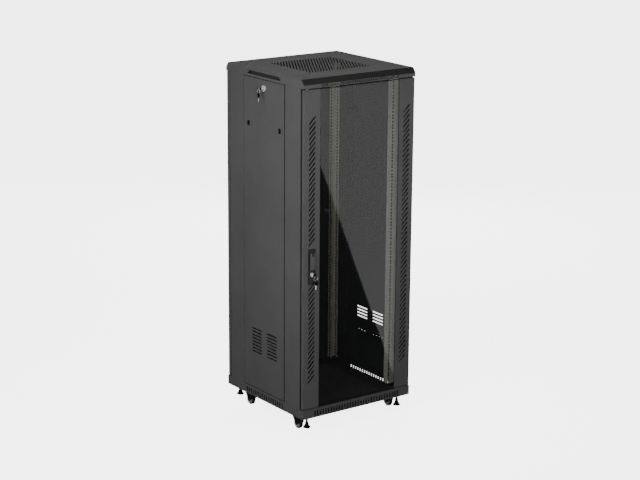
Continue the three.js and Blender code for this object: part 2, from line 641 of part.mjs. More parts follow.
// The left side's panel: a shallow tray with its face outward.
function sidePanel() {
  const face = -HALF_WIDTH;
  const inner = face + PANEL.lip;
  const sheet = PANEL_SHEET;
  const tray = join(
    box(face, face + sheet, PANEL.front, PANEL.rear, PANEL.low, PANEL.high),
    box(face, inner, PANEL.front, PANEL.front + sheet, PANEL.low, PANEL.high),
    box(face, inner, PANEL.rear - sheet, PANEL.rear, PANEL.low, PANEL.high),
    box(face, inner, PANEL.front, PANEL.rear, PANEL.low, PANEL.low + sheet),
    box(face, inner, PANEL.front, PANEL.rear, PANEL.high - sheet, PANEL.high),
    ...[-110, 110].map((y) => box(face + 5, inner, y - 12, y + 12,
      BASE_HEIGHT + GAP, PANEL.low + 1)),
  );
  const tools = [bar("x", 8.9, 0, SIDE_LOCK_Z, face - 5, face + 5)];
  for (const [, side] of ENDS) {
    const middle = (side * (PANEL_VENTS.inner + PANEL_VENTS.outer)) / 2;
    const half = (PANEL_VENTS.outer - PANEL_VENTS.inner) / 2;
    for (let i = 0; i < PANEL_VENTS.rows; i += 1) {
      const z = PANEL_VENTS.low + i * PANEL_VENTS.pitch;
      tools.push(box(face - 1, face + 5, middle - half, middle + half,
        z - PANEL_VENTS.height / 2, z + PANEL_VENTS.height / 2));
    }
  }
  for (const [, y, slit, toward] of LATCHES) {
    const { width, height } = LATCH_OPENING;
    tools.push(box(face - 1, face + 5, y - width / 2, y + width / 2,
      LATCH_Z - height / 2, LATCH_Z + height / 2));
    tools.push(box(face - 1, face + 5, slit - 0.9, slit + 0.9, LATCH_Z - 12, LATCH_Z + 18));
    const edge = toward < 0 ? PANEL.front : PANEL.rear;
    tools.push(box(-BOLT.near - 0.6, -BOLT.far + 0.6, edge - 5, edge + 5,
      LATCH_Z - BOLT.height / 2 - 0.6, LATCH_Z + BOLT.height / 2 + 0.6));
  }
  return cut(tray, tools);
}

// A sliding finger latch behind the panel's opening, with its bolt toward the near post.
function sideLatch(y, toward) {
  const { width, height } = LATCH_OPENING;
  const ordered = (a, b) => [Math.min(a, b), Math.max(a, b)];
  const back = -HALF_WIDTH + PANEL_SHEET + GAP;
  const edge = toward < 0 ? PANEL.front + 0.4 : PANEL.rear - 0.4;
  const plateInner = y - toward * (width / 2 + 2);
  const plateOuter = y + toward * (width / 2 + LATCH_TRAVEL + 2);
  const grip = y + toward * (width / 2 - 1);
  return join(
    box(back, back + 4, ...ordered(plateInner, plateOuter),
      LATCH_Z - height / 2 - 3, LATCH_Z + height / 2 + 3),
    box(-HALF_WIDTH + 0.4, back + 1, ...ordered(grip, grip - toward * 9),
      LATCH_Z - height / 2 + 1, LATCH_Z + height / 2 - 1),
    box(-BOLT.near, -BOLT.far, ...ordered(y, edge),
      LATCH_Z - BOLT.height / 2, LATCH_Z + BOLT.height / 2),
  );
}

add("side_panel_left", sidePanel(), paint);
add("side_panel_right", flipX(sidePanel()), paint);
for (const [end, y, , toward] of LATCHES) {
  add(`side_latch_left_${end}`, sideLatch(y, toward), blackPlastic);
  add(`side_latch_right_${end}`, flipX(sideLatch(y, toward)), blackPlastic);
}

const sideFaceX = -HALF_WIDTH - GAP - 3;
const camX = 18;
const sideLock = lockBody(14, 3, 24, box(-SIDE_LOCK_CAM, 0, camX, camX + 3, -7, 7))
  .rotateY(Math.PI / 2).rotateZ(-Math.PI / 2);
add("side_lock_left", sideLock.clone().translate(sideFaceX, 0, SIDE_LOCK_Z), chrome);
add("side_lock_right", flipX(sideLock.translate(sideFaceX, 0, SIDE_LOCK_Z)), chrome);

const sideKeyX = -HALF_WIDTH - SIDE_KEY_OUT;
const sideRingX = sideKeyX - KEY_HOLE_OUT;
const slantOut = RING.radius * Math.SQRT1_2;
const sideKey = keyBlank().rotateY(Math.PI / 2).rotateZ(-Math.PI / 2)
  .translate(sideKeyX, 0, SIDE_LOCK_Z);
add("side_key_left", join(
  sideKey,
  ring("x").translate(sideRingX, -slantOut - 1, SIDE_LOCK_Z - slantOut),
), steel);
add("side_spare_key_left", hangingKey(sideRingX, -slantOut - 1,
  SIDE_LOCK_Z - slantOut - RING.radius, Math.PI / 2 + 0.6), steel);
add("side_key_right", flipX(sideKey), steel);

// ---------------------------------------------------------------- casters and levelling feet

const WHEEL = { radius: 25, half: 10, trail: 14 };
const AXLE_Z = WHEEL.radius - CASTER_HEIGHT;
const PLATE = { half: 30, thickness: 2.5 };

// A closed shape of revolution about +Z from [radius, height] points.
function turned(profile, segments) {
  const points = profile.map(([r, z]) => new THREE.Vector2(r, z));
  points.push(points[0].clone());
  return new THREE.LatheGeometry(points, segments).rotateX(Math.PI / 2);
}

function casterPlate() {
  const low = -GAP - PLATE.thickness;
  const plate = prism("z", rounded(0, 0, 2 * PLATE.half, 2 * PLATE.half - 10, 6, 2), low, -GAP);
  return join(plate, bar("z", 13, 0, 0, low - 3, low + 1, 12));
}

function casterFork() {
  const top = -GAP - PLATE.thickness - 3 - GAP;
  const y = -WHEEL.trail;
  const cheek = [
    [20, top - 1], [20, top - 8], [y + 9, AXLE_Z + 2], [y + 6, AXLE_Z - 6],
    [y - 6, AXLE_Z - 6], [y - 22, AXLE_Z + 8], [y - 20, AXLE_Z + 24], [-18, top - 1],
  ];
  const inner = WHEEL.half + 1.2;
  const outer = inner + 2.4;
  return join(
    bar("z", 20, 0, 0, top - 8, top, 16),
    box(-outer, outer, -18, 12, top - 8, top - 1),
    prism("x", cheek, inner, outer),
    prism("x", cheek, -outer, -inner),
    bar("x", 3, y, AXLE_Z, -outer - 1.5, outer + 1.5, 8),
  );
}

function casterWheel() {
  const { radius, half } = WHEEL;
  const profile = [
    [3.4, -half + 1], [14, -half + 1], [17, -half + 3.5], [19, -half + 0.5],
    [22, -half + 0.5], [radius, -half + 3.5], [radius, half - 3.5], [22, half - 0.5],
    [19, half - 0.5], [17, half - 3.5], [14, half - 1], [3.4, half - 1],
  ];
  return turned(profile, 20).rotateY(Math.PI / 2).translate(0, -WHEEL.trail, AXLE_Z);
}

function levellingFoot() {
  return turned([
    [0, -52], [17, -52], [17, -48], [13, -45], [7, -33], [FOOT_STEM_RADIUS, -31],
    [FOOT_STEM_RADIUS, 34], [0, 34],
  ], 16);
}

for (const [end, back] of ENDS) {
  for (const [hand, side] of SIDES) {
    const place = new THREE.Group();
    place.position.set(side * CASTER_X, back * CASTER_Y, 0);
    cabinet.add(place);
    add(`caster_plate_${end}_${hand}`, casterPlate(), steel, place);
    add(`caster_fork_${end}_${hand}`, casterFork(), steel, place);
    add(`caster_wheel_${end}_${hand}`, casterWheel(), rubber, place);
    add(`levelling_foot_${end}_${hand}`,
      levellingFoot().translate(side * CASTER_X, back * FOOT_Y, 0), blackPlastic);
  }
}

export default rack;
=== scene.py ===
"""Looks of the free-standing 19-inch rack cabinet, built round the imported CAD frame."""
import math

import bmesh
import bpy
from mathutils import Matrix, Vector


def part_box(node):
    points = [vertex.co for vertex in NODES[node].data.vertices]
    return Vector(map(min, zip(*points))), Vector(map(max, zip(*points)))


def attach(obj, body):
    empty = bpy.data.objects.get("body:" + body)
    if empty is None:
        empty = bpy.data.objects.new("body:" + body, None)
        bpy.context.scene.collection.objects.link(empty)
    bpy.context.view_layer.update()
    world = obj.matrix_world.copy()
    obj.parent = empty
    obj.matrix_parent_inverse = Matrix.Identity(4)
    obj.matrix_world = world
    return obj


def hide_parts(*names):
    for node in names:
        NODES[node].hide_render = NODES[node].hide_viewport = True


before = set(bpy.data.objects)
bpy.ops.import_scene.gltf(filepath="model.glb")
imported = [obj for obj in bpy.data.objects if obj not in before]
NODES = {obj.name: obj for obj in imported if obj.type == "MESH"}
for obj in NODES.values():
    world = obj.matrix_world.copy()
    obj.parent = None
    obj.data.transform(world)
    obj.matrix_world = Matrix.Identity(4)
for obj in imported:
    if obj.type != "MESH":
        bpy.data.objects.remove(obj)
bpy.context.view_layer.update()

MM = 0.001
SIDES = (("left", -1), ("right", 1))
ENDS = (("front", -1), ("rear", 1))
TOP_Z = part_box("top_cover")[1].z
BASE_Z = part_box("base_beam_front")[0].z  # the underside, which the casters hang from


# ------------------------------------------------------------------ node materials

# Half width and half depth beyond which a face lies on the cabinet's outside; the faces inside get
# painted shade.
FRAME_SHELL = (0.2992, 0.2992)
DOOR_SHELL = (0.2963, 0.2972)
TOP_SHEET = TOP_Z - 1.5 * MM
REAR_SLOPE_NORMAL = (0.0, 0.7772, 0.6292)  # of the bevel along the top's rear edge
REAR_SLOPE_DISTANCE = 1.2198
# Painted shade: the faces inside the cabinet keep only this share of their colour.
INSIDE_PAINTED_SHADE = 0.5  # how bright the faces inside are, against 1 outside

# Painted shade, in crevices and deep inside the cabinet: how far the shading looks for nearby faces,
# the share of the colour kept where they crowd together, and the two openness values between which the
# share rises to 1.
CREVICE_PAINTED_SHADE = (22 * MM, 0.15, 0.25, 0.8)
CABINET_ROOM_PAINTED_SHADE = (0.45, 0.4, 0.02, 0.3)
SHADING_SAMPLES = 6


class Nodes:
    """One material's node tree, written with short calls."""

    def __init__(self, name):
        self.material = bpy.data.materials.new(name)
        self.material.use_nodes = True
        self.tree = self.material.node_tree
        self.shader = self.tree.nodes["Principled BSDF"]
        self.coords = self.add("ShaderNodeTexCoord").outputs["Object"]

    def add(self, kind, **settings):
        node = self.tree.nodes.new(kind)
        for key, value in settings.items():
            setattr(node, key, value)
        return node

    def link(self, source, target):
        self.tree.links.new(source, target)

    def feed(self, value, socket):
        """Writes a number or a colour into a socket, or links another node's output to it."""
        if isinstance(value, tuple):
            socket.default_value = (*value, 1.0)
        elif isinstance(value, float):
            socket.default_value = value
        else:
            self.link(value, socket)

    def put(self, **values):
        for key, value in values.items():
            self.shader.inputs[key.replace("_", " ")].default_value = value

    def surface(self, colour, roughness):
        self.link(colour, self.shader.inputs["Base Color"])
        self.link(roughness, self.shader.inputs["Roughness"])

    def noise(self, scale, detail=3.0, stretch=None):
        node = self.add("ShaderNodeTexNoise")
        node.inputs["Scale"].default_value = scale
        node.inputs["Detail"].default_value = detail
        node.inputs["Roughness"].default_value = 0.55
        place = self.coords
        if stretch:
            mapping = self.add("ShaderNodeMapping")
            mapping.inputs["Scale"].default_value = stretch
            self.link(place, mapping.inputs["Vector"])
            place = mapping.outputs["Vector"]
        self.link(place, node.inputs["Vector"])
        return node.outputs["Fac"]

    def ramp(self, factor, stops):
        node = self.add("ShaderNodeValToRGB")
        for element, (position, colour) in zip(node.color_ramp.elements, stops):
            element.position = position
            element.color = (*colour, 1.0)
        self.link(factor, node.inputs["Fac"])
        return node.outputs["Color"]

    def spread(self, factor, low, high, low_in=0.3, high_in=0.7):
        node = self.add("ShaderNodeMapRange")
        for name, value in (("From Min", low_in), ("From Max", high_in),
                            ("To Min", low), ("To Max", high)):
            node.inputs[name].default_value = value
        self.link(factor, node.inputs["Value"])
        return node.outputs["Result"]

    def mix(self, factor, a, b):
        node = self.add("ShaderNodeMix", data_type="RGBA")
        self.link(factor, node.inputs["Factor"])
        self.feed(a, node.inputs["A"])
        self.feed(b, node.inputs["B"])
        return node.outputs["Result"]

    def bump(self, height, distance, strength):
        node = self.add("ShaderNodeBump")
        node.inputs["Strength"].default_value = strength
        node.inputs["Distance"].default_value = distance
        self.link(height, node.inputs["Height"])
        self.link(node.outputs["Normal"], self.shader.inputs["Normal"])

    def math(self, operation, a, b=0.0):
        node = self.add("ShaderNodeMath", operation=operation)
        self.feed(a, node.inputs[0])
        self.feed(b, node.inputs[1])
        return node.outputs["Value"]

    def painted_shade_share(self, distance, floor, low, high):
        """Painted shade: from a floor value where surfaces crowd together up to 1 in the open."""
        node = self.add("ShaderNodeAmbientOcclusion", samples=SHADING_SAMPLES)
        node.inputs["Distance"].default_value = distance
        return self.spread(node.outputs["AO"], floor, 1.0, low, high)

    def shaded(self, colour, *shares):
        """A colour times every share."""
        factor = shares[0]
        for share in shares[1:]:
            factor = self.math("MULTIPLY", factor, share)
        node = self.add("ShaderNodeVectorMath", operation="SCALE")
        self.link(colour, node.inputs[0])
        self.link(factor, node.inputs["Scale"])
        return node.outputs["Vector"]

    def shell(self, half_width, half_depth):
        """1 on the cabinet's outer faces and 0 on every face inside them, where painted shade goes."""
        size = self.add("ShaderNodeVectorMath", operation="ABSOLUTE")
        self.link(self.coords, size.inputs[0])
        slope = self.add("ShaderNodeVectorMath", operation="DOT_PRODUCT")
        self.link(size.outputs["Vector"], slope.inputs[0])
        slope.inputs[1].default_value = REAR_SLOPE_NORMAL
        parts = self.add("ShaderNodeSeparateXYZ")
        self.link(size.outputs["Vector"], parts.inputs["Vector"])
        outside = self.math("GREATER_THAN", slope.outputs["Value"], REAR_SLOPE_DISTANCE)
        for axis, limit in (("X", half_width), ("Y", half_depth), ("Z", TOP_SHEET)):
            beyond = self.math("GREATER_THAN", parts.outputs[axis], limit)
            outside = self.math("MAXIMUM", outside, beyond)
        return outside


def grey(value, warm=0.0):
    return (value * (1 + warm), value, value * (1 - warm))


def powder_coat(name, tone, rough, grain=1400, depth=0.06 * MM, shell=None):
    """Baked textured paint: an orange-peel grain over faint patches of handling and dust.

    It gets painted shade in crevices and, where a shell is given, on the faces inside that shell.
    """
    m = Nodes(name)
    patches = m.noise(5.0, detail=4)
    specks = m.noise(420, detail=2)
    base = m.ramp(patches, [(0.3, grey(tone * 0.93)), (0.7, grey(tone * 1.07, warm=0.008))])
    colour = m.mix(m.spread(specks, 0, 0.22, 0.6, 0.75), base, grey(tone * 1.5))
    shares = [m.painted_shade_share(*CREVICE_PAINTED_SHADE)]
    if shell:
        # Painted shade on the faces inside the shell, darker still where the cabinet's inside is most
        # enclosed.
        shares += [m.spread(m.shell(*shell), INSIDE_PAINTED_SHADE, 1.0, 0.0, 1.0),
                   m.painted_shade_share(*CABINET_ROOM_PAINTED_SHADE)]
    m.surface(m.shaded(colour, *shares), m.spread(m.noise(9, detail=5), rough - 0.05, rough + 0.07))
    m.bump(m.noise(grain, detail=1), depth, strength=0.5)
    m.put(Specular_IOR_Level=0.42)
    return m.material


# The rear rails' two side flanges, which carry a row of squares of painted shade in place of their
# square holes.
RAIL_LOW, RAIL_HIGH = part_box("rail_rear_right")
INNER_FLANGE_X = RAIL_LOW.x + 0.6 * MM
OUTER_FLANGE_X = RAIL_HIGH.x - 2.5 * MM
MARK_Y = RAIL_LOW.y + 15 * MM
MARK_PITCH = 44.45 * MM / 3
MARK_HALF = 4.5 * MM


def rail_hole_shade(m):
    """1 in a row of squares down both side flanges of the rear rails, 0 elsewhere; the squares are
    painted shade for the holes.
    """
    parts = m.add("ShaderNodeSeparateXYZ")
    m.link(m.coords, parts.inputs["Vector"])
    across = m.math("ABSOLUTE", parts.outputs["X"])
    off_row = m.math("ABSOLUTE", m.math("SUBTRACT", parts.outputs["Y"], MARK_Y))
    step = m.math("FRACT", m.math("DIVIDE", parts.outputs["Z"], MARK_PITCH))
    off_step = m.math("ABSOLUTE", m.math("SUBTRACT", step, 0.5))
    mask = m.math("ADD", m.math("LESS_THAN", across, INNER_FLANGE_X),
                  m.math("GREATER_THAN", across, OUTER_FLANGE_X))
    for value, limit in ((off_row, MARK_HALF), (off_step, MARK_HALF / MARK_PITCH)):
        mask = m.math("MULTIPLY", mask, m.math("LESS_THAN", value, limit))
    return mask


def galvanised(name):
    """Zinc sheet with crystal patches, a dull bloom and, on the rear rails, dark squares of painted
    shade where square holes would be.
    """
    m = Nodes(name)
    crystals = m.add("ShaderNodeTexVoronoi")
    crystals.inputs["Scale"].default_value = 130
    m.link(m.coords, crystals.inputs["Vector"])
    bloom = m.spread(m.noise(14, detail=4), 0.0, 0.35)
    spangle = m.ramp(crystals.outputs["Color"], [(0.1, (0.68, 0.68, 0.58)), (0.9, (0.84, 0.84, 0.73))])
    zinc = m.mix(bloom, spangle, (0.60, 0.595, 0.48))
    # Painted shade: near-black squares standing in for the dark behind the rails' square holes.
    m.surface(m.mix(rail_hole_shade(m), zinc, grey(0.02)),
              m.spread(crystals.outputs["Distance"], 0.42, 0.55, 0.0, 0.6))
    m.bump(m.noise(900, detail=1, stretch=(1, 1, 0.1)), 0.03 * MM, strength=0.5)
    m.put(Metallic=0.1)
    return m.material


def plated(name, tone, rough, metal, brush=(1, 1, 1)):
    """Bare or plated metal with fine streaks, which a brush stretches along an axis."""
    m = Nodes(name)
    streaks = m.noise(700, detail=2, stretch=brush)
    m.surface(m.ramp(streaks, [(0.3, grey(tone * 0.9)), (0.7, grey(tone * 1.06))]),
              m.spread(m.noise(60, detail=3), rough * 0.8, rough * 1.3))
    m.bump(streaks, 0.02 * MM, strength=0.4)
    m.put(Metallic=metal)
    return m.material


def moulded(name, tone, rough, shine=0.5):
    """Plastic or rubber with a fine matt grain."""
    m = Nodes(name)
    m.surface(m.ramp(m.noise(30, detail=4), [(0.3, grey(tone * 0.85)), (0.75, grey(tone * 1.2))]),
              m.spread(m.noise(45, detail=3), rough - 0.05, rough + 0.08))
    m.bump(m.noise(1100, detail=2), 0.07 * MM, strength=0.45)
    m.put(Specular_IOR_Level=shine)
    return m.material


def smoked_glass(name):
    """Tempered sheet with a trace of dust; what lies behind shows through its alpha."""
    m = Nodes(name)
    dust = m.noise(11, detail=6)
    m.surface(m.ramp(dust, [(0.35, (0.005, 0.006, 0.006)), (0.8, (0.012, 0.013, 0.013))]),
              m.spread(dust, 0.0, 0.03, 0.3, 0.8))
    m.put(Alpha=0.36, IOR=1.52, Specular_IOR_Level=1.0)
    return m.material


def tyre_rubber(name):
    """Black rubber with slightly paler patches."""
    m = Nodes(name)
    m.surface(m.ramp(m.noise(90, detail=4), [(0.3, grey(0.010)), (0.75, grey(0.022))]),
              m.spread(m.noise(60), 0.45, 0.62))
    m.bump(m.noise(500, detail=2), 0.1 * MM, strength=0.4)
    return m.material


CHARCOAL = {"tone": 0.082, "rough": 0.52}
PAINT = powder_coat("paint_charcoal", **CHARCOAL)
PAINT_FRAME_INSIDE_SHADE = powder_coat("paint_charcoal_frame_inside_shade", **CHARCOAL, shell=FRAME_SHELL)
PAINT_DOORS_INSIDE_SHADE = powder_coat("paint_charcoal_doors_inside_shade", **CHARCOAL, shell=DOOR_SHELL)
PAINT_INSIDE = powder_coat("paint_inside", tone=0.085, rough=0.6)
PAINT_BARS = powder_coat("paint_bars", tone=0.022, rough=0.6)
TRIM = powder_coat("paint_trim_black", tone=0.016, rough=0.4, grain=900, depth=0.03 * MM)
# Painted shade: the handle's dish is painted dark to stand for the shadow in its recess.
DISH_PAINTED_SHADE = powder_coat("paint_dish_shade", tone=0.030, rough=0.55)
ZINC = galvanised("zinc_galvanised")
GLASS = smoked_glass("glass_smoked")
PLASTIC = moulded("plastic_black", tone=0.005, rough=0.5, shine=0.25)
GASKET = moulded("gasket_black", tone=0.008, rough=0.7)
CHROME = plated("chrome_plate", tone=0.86, rough=0.16, metal=0.5)
NICKEL = plated("nickel_plate", tone=0.84, rough=0.22, metal=0.45, brush=(1, 1, 0.2))
STEEL = plated("steel_zinc_plated", tone=0.52, rough=0.34, metal=1.0, brush=(0.3, 1, 1))
BLACK_SCREW = plated("steel_blackened", tone=0.025, rough=0.38, metal=0.5)
DARK_SCREW = plated("steel_black_oxide", tone=0.006, rough=0.6, metal=0.2)
HUB = moulded("plastic_hub_grey", tone=0.42, rough=0.42)
TYRE = tyre_rubber("caster_wheel_tread")

# The first start of a node's name that fits gives its material.
NODE_LOOKS = (
    ("header_trim", TRIM), ("handle_spindle", TRIM), ("handle_dish", DISH_PAINTED_SHADE), ("handle", PAINT),
    ("rail_", ZINC), ("door_glass", GLASS), ("side_latch", PLASTIC), ("levelling_foot", PLASTIC),
    ("front_lock", CHROME), ("rear_lock", CHROME), ("side_lock", CHROME),
    ("caster_plate", BLACK_SCREW), ("caster_fork", BLACK_SCREW), ("caster_wheel", TYRE),
    ("depth_bar", PAINT_BARS), ("floor_panel", PAINT_INSIDE), ("cable_entry", PAINT_INSIDE),
    ("door_stile", PAINT_DOORS_INSIDE_SHADE), ("rear_door", PAINT_DOORS_INSIDE_SHADE), ("", PAINT_FRAME_INSIDE_SHADE),
)
BEVELLED = ("post", "side_panel", "door_stile", "rear_door", "top_cover", "front_header",
            "base_beam", "handle_lever", "handle_dish", "header_trim", "door_glass")
SMOOTH = ("caster_wheel", "levelling_foot", "front_lock", "rear_lock", "side_lock")
SHEET_EDGE = 0.35 * MM  # rounding of the folded sheet's edges


def soften_edges(obj, width, angle):
    bevel = obj.modifiers.new("edge", "BEVEL")
    bevel.width = width
    bevel.segments = 2
    bevel.limit_method = "ANGLE"
    bevel.angle_limit = math.radians(angle)


def smooth_by_angle(obj, angle):
    split = obj.modifiers.new("creases", "EDGE_SPLIT")
    split.split_angle = math.radians(angle)
    obj.data.polygons.foreach_set("use_smooth", [True] * len(obj.data.polygons))


for name, obj in NODES.items():
    look = next(material for start, material in NODE_LOOKS if name.startswith(start))
    obj.data.materials.clear()
    obj.data.materials.append(look)
    if name.startswith(SMOOTH):
        smooth_by_angle(obj, angle=35)
    if name.startswith(BEVELLED):
        soften_edges(obj, SHEET_EDGE, angle=40)


# ------------------------------------------------------------------ mesh building

def finish_mesh(name, bm, material, body, smooth=None, bevel=None):
    """Turns a built mesh into a piece that rides on a body and takes a material slot."""
    bmesh.ops.recalc_face_normals(bm, faces=bm.faces)
    mesh = bpy.data.meshes.new(name)
    bm.to_mesh(mesh)
    bm.free()
    obj = bpy.data.objects.new(name, mesh)
    bpy.context.scene.collection.objects.link(obj)
    mesh.materials.append(material)
    if bevel:
        soften_edges(obj, bevel, angle=30)
    if smooth:
        smooth_by_angle(obj, smooth)
    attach(obj, body)
    return obj


def lathe(bm, profile, matrix, segments):
    """A solid of revolution about the local Z axis from (radius, height) points."""
    rings = []
    for radius, height in profile:
        if radius == 0:
            rings.append([bm.verts.new(matrix @ Vector((0, 0, height)))])
            continue
        ring = []
        for i in range(segments):
            angle = 2 * math.pi * i / segments
            ring.append(bm.verts.new(matrix @ Vector((
                radius * math.cos(angle), radius * math.sin(angle), height))))
        rings.append(ring)
    for low, high in zip(rings, rings[1:]):
        for i in range(segments):
            j = (i + 1) % segments
            quad = (low[i % len(low)], low[j % len(low)], high[j % len(high)], high[i % len(high)])
            corners = [v for k, v in enumerate(quad) if v not in quad[:k]]
            if len(corners) > 2:
                bm.faces.new(corners)


def plate(bm, outline, low, high, matrix):
    """A flat outline in the local XY plane, made solid between two heights."""
    bottom = [bm.verts.new(matrix @ Vector((x, y, low))) for x, y in outline]
    top = [bm.verts.new(matrix @ Vector((x, y, high))) for x, y in outline]
    bm.faces.new(bottom[::-1])
    bm.faces.new(top)
    for i in range(len(outline)):
        j = (i + 1) % len(outline)
        bm.faces.new((bottom[i], bottom[j], top[j], top[i]))


def block(bm, x0, x1, y0, y1, z0, z1):
    """A straight block between two places along each axis."""
    plate(bm, [(x0, y0), (x1, y0), (x1, y1), (x0, y1)], z0, z1, Matrix.Identity(4))


def torus(bm, radius, wire, matrix, segments=40, sides=10):
    rings = []
    for i in range(segments):
        around = 2 * math.pi * i / segments
        ring = []
        for k in range(sides):
            across = 2 * math.pi * k / sides
            reach = radius + wire * math.cos(across)
            ring.append(bm.verts.new(matrix @ Vector((
                reach * math.cos(around), reach * math.sin(around), wire * math.sin(across)))))
        rings.append(ring)
    for i in range(segments):
        for k in range(sides):
            a, b = rings[i], rings[(i + 1) % segments]
            bm.faces.new((a[k], b[k], b[(k + 1) % sides], a[(k + 1) % sides]))


def facing(direction, at):
    """A matrix whose local Z points along a direction, placed at a point."""
    return Matrix.Translation(at) @ Vector(direction).to_track_quat("Z", "Y").to_matrix().to_4x4()


def middle(name):
    low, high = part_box(name)
    return Vector([(a + b) / 2 for a, b in zip(low, high)])


def in_mm(points):
    return [(a * MM, b * MM) for a, b in points]


HEXAGON = 6
HEAD_SEGMENTS = 20
SOCKET_SHARE = 0.45  # of a screw head's radius


def screw_head(bm, matrix, radius, height):
    """A pan head with a sunken hexagon socket."""
    socket = SOCKET_SHARE * radius
    wall = 1.1 * socket
    lathe(bm, [(socket, -height), (socket, 0.25 * height), (0, 0.2 * height)], matrix, HEXAGON)
    lathe(bm, [(wall, -height), (radius, -height), (radius, 0.35 * height),
               (0.85 * radius, 0.8 * height), (0.6 * radius, height), (wall, height),
               (wall, -height)], matrix, HEAD_SEGMENTS)


# ------------------------------------------------------------------ frame fasteners and the rear slots' shade strip

EDGE_SCREW = 6.2 * MM  # head radius
INNER_SCREW = 4.0 * MM
# Place and head radius of each screw on the top's right half; the left half mirrors them.
TOP_SCREWS = ((0.260, -0.245, EDGE_SCREW), (0.257, -0.192, EDGE_SCREW), (0.260, 0.245, EDGE_SCREW),
              (0.257, 0.192, EDGE_SCREW), (0.186, 0.215, INNER_SCREW))
TOP_SCREW_SUNK = 0.9 * MM
TOP_SCREW_HEIGHT = 1.1 * MM

RAIL_SCREW_LEVELS = (0.32, 0.90, 1.50)
RAIL_SCREW_X = 0.2596  # on the inner face of a rail's outer flange
RAIL_SCREW_Y = 0.216

# A dark sheet of painted shade behind the rear base beam's slots.
SHADE_STRIP_HALF_WIDTH = 0.242
SHADE_STRIP_THICKNESS = 1.2 * MM
SHADE_STRIP_FROM_BACK = 2.2 * MM
SHADE_STRIP_BOTTOM, SHADE_STRIP_TOP = 2.4 * MM, 36 * MM  # above the base's underside


def top_screws():
    bm = bmesh.new()
    for _, side in SIDES:
        for x, y, radius in TOP_SCREWS:
            at = Vector((side * x, y, TOP_Z - TOP_SCREW_SUNK))
            screw_head(bm, Matrix.Translation(at), radius, TOP_SCREW_HEIGHT)
    finish_mesh("top_screws", bm, DARK_SCREW, "cabinet", smooth=35)


def rail_side_screws():
    bm = bmesh.new()
    for _, side in SIDES:
        for z in RAIL_SCREW_LEVELS:
            for _, end in ENDS:
                at = Vector((side * RAIL_SCREW_X, end * RAIL_SCREW_Y, z))
                screw_head(bm, facing((-side, 0, 0), at), radius=4.5 * MM, height=1.6 * MM)
    finish_mesh("rail_side_screws", bm, STEEL, "cabinet", smooth=35)


def rear_slot_shade_strip():
    """A dark strip just inside the rear base beam's slots, put there as painted shade so that what
    shows through them is dim.
    """
    low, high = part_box("base_beam_rear")
    back = high.y - SHADE_STRIP_FROM_BACK
    bm = bmesh.new()
    block(bm, -SHADE_STRIP_HALF_WIDTH, SHADE_STRIP_HALF_WIDTH, back - SHADE_STRIP_THICKNESS, back,
          low.z + SHADE_STRIP_BOTTOM, low.z + SHADE_STRIP_TOP)
    finish_mesh("rear_slot_shade_strip", bm, GASKET, "cabinet")


top_screws()
rail_side_screws()
rear_slot_shade_strip()

# ------------------------------------------------------------------ door gasket

SEAL_PROUD = 0.3 * MM  # in front of the glass
SEAL_WIDTH = 1.6 * MM  # seen beside each stile
SEAL_SHORT = 1 * MM  # of each end of the glass
CHANNEL_INSET = 17 * MM  # from the glass's side edges
CHANNEL_BACK = 0.5 * MM
CHANNEL_OVER, CHANNEL_LAP = 0.8 * MM, 2 * MM  # beyond the glass's edge and on to its face


def door_glass_gasket():
    """Seals down both sides of the glass, and channels over its bottom and top edges."""
    low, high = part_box("door_glass")
    stile_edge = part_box("door_stile_right")[0].x
    front = low.y - SEAL_PROUD
    bm = bmesh.new()
    for _, side in SIDES:
        block(bm, side * stile_edge, side * (stile_edge - SEAL_WIDTH), front, low.y,
              low.z + SEAL_SHORT, high.z - SEAL_SHORT)
    for z0, z1 in ((low.z - CHANNEL_OVER, low.z + CHANNEL_LAP),
                   (high.z - CHANNEL_LAP, high.z + CHANNEL_OVER)):
        block(bm, low.x + CHANNEL_INSET, high.x - CHANNEL_INSET, front, high.y + CHANNEL_BACK, z0, z1)
    finish_mesh("door_glass_gasket", bm, GASKET, "front_door")


door_glass_gasket()

# ------------------------------------------------------------------ keys

KEY_LENGTH = 24 * MM  # of the moulded bow, which holds the blade and has the hole
KEY_WIDTH = 22 * MM
BOW_ROUNDNESS = 2.7  # the outline's exponent: 2 is an ellipse, more is squarer
BOW_STEPS = 44
BOW_REACH = 30 * MM  # farther from the hole than any point of the outline
HALVINGS = 30
BOW_RINGS = in_mm([(0.8, -1.75), (0.0, -1.1), (0.0, 1.1), (0.8, 1.75)])  # inset and height
KEY_HOLE = 2.8 * MM
KEY_HOLE_OUT = 7 * MM  # from the bow's middle
KEY_BLADE = 19 * MM
BLADE_SUNK = 2 * MM  # into the bow
BLADE_HALF, NECK_HALF = 3.2 * MM, 2.6 * MM
BLADE_THICKNESS = 1.6 * MM
FIRST_CUT, CUT_PITCH = 3.6 * MM, 2.8 * MM
CUTS = (0.9 * MM, 1.9 * MM, 1.2 * MM, 2.2 * MM, 0.6 * MM)  # depths, from the tip back
RING_RADIUS, RING_WIRE = 9.5 * MM, 0.8 * MM
SPARE_TWIST = math.degrees(0.6)  # the hanging keys stand turned by this about the vertical
FLAT = Matrix(((0, 0, 1, 0), (1, 0, 0, 0), (0, 1, 0, 0), (0, 0, 0, 1)))  # local XY to YZ


def bow_edge(angle):
    """How far the bow's outline is from its hole, along an angle, found by halving."""
    near, far = 0.0, BOW_REACH
    for _ in range(HALVINGS):
        reach = (near + far) / 2
        u = (reach * math.cos(angle) - KEY_HOLE_OUT) / (KEY_LENGTH / 2)
        v = reach * math.sin(angle) / (KEY_WIDTH / 2)
        if abs(u) ** BOW_ROUNDNESS + abs(v) ** BOW_ROUNDNESS < 1:
            near = reach
        else:
            far = reach
    return near


